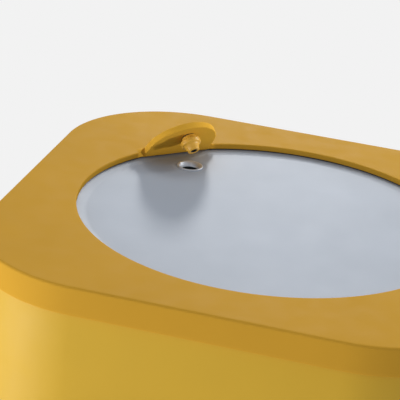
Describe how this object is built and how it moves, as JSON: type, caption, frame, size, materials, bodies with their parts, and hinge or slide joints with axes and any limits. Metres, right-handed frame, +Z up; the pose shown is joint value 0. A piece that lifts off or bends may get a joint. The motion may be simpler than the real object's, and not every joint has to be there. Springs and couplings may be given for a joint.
{
  "type": "drinking fountain",
  "caption": "Free-standing square pedestal drinking fountain with a round steel bowl, a leaning spout hood, a push button and a lockable service door.",
  "frame": {"origin": "on the ground under the middle of the column", "axes": "+Z up; -Y is the front with the push button; +Y is the back with the service door; the spout hood stands over the -X +Y side of the bowl"},
  "size_m": [0.393, 0.393, 0.9021],
  "materials": {
    "yellow_coating": "fine matt powder coat",
    "grey_coating": "satin powder coat",
    "stainless": "satin bead-blasted stainless",
    "zinc_steel": "zinc plated",
    "brass": "machined brass",
    "seal_rubber": "matt rubber",
    "hose_rubber": "smooth hose",
    "white_plastic": "moulded plastic",
    "red_plastic": "dipped vinyl grip"
  },
  "bodies": {
    "column": {"top_lid": "yellow_coating", "lid_screws": "zinc_steel", "bowl": "stainless", "bowl_gasket": "seal_rubber", "bowl_studs": "zinc_steel", "bowl_clamps": "zinc_steel", "bowl_nuts": "zinc_steel", "spout_nozzle": "yellow_coating", "nozzle_seal": "seal_rubber", "spout_adapter": "brass", "spout_hose": "hose_rubber", "drain_fitting": "stainless", "drain_gasket": "seal_rubber", "drain_nut": "brass", "waste_pipe": "white_plastic", "trap_nut": "white_plastic", "trap_body": "white_plastic", "trap_cup": "white_plastic", "waste_outlet": "white_plastic", "waste_clips": "zinc_steel", "outlet_coupling": "seal_rubber", "column_shell": "yellow_coating", "base_plate": "grey_coating", "service_plate": "zinc_steel", "plate_bolts": "zinc_steel", "hinge_pins": "stainless", "door_seal": "seal_rubber", "inlet_nipple": "brass", "shutoff_body": "brass", "strainer_body": "brass", "strainer_screen": "stainless", "strainer_cap": "brass", "supply_hose": "hose_rubber", "supply_clips": "zinc_steel", "clip_screws": "zinc_steel", "hose_clamps": "zinc_steel", "button_housing": "stainless", "housing_nut": "zinc_steel", "valve_body": "brass", "valve_screws": "zinc_steel", "valve_cap": "brass", "button_spring": "stainless"},
    "push_button": {"push_button": "stainless", "button_stem": "stainless", "valve_poppet": "seal_rubber"},
    "service_door": {"door_leaf": "yellow_coating", "lock_housing": "zinc_steel", "lock_nut": "zinc_steel"},
    "door_lock": {"lock_core": "stainless", "lock_cam": "zinc_steel", "cam_screw": "stainless"},
    "shutoff_lever": {"shutoff_ball": "stainless", "shutoff_stem": "stainless", "shutoff_handle": "zinc_steel", "handle_grip": "red_plastic", "handle_nut": "zinc_steel"}
  },
  "joints": [
    {"name": "button_press", "type": "slide", "parent": "column", "child": "push_button", "axis": [0, 1, 0], "range_m": [0, 0.006], "stiffness_N_per_m": 700, "springref_m": -0.006, "deforming": ["button_spring"]},
    {"name": "door_swing", "type": "hinge", "parent": "column", "child": "service_door", "pos_m": [-0.085, 0.19, 0.36], "axis": [0, 0, 1], "range_deg": [0, 90]},
    {"name": "lock_turn", "type": "hinge", "parent": "service_door", "child": "door_lock", "pos_m": [0.065, 0.19, 0.36], "axis": [0, 1, 0], "range_deg": [0, 90]},
    {"name": "shutoff_turn", "type": "hinge", "parent": "column", "child": "shutoff_lever", "pos_m": [0.055, 0.065, 0.09], "axis": [0, 1, 0], "range_deg": [0, 90]}
  ]
}
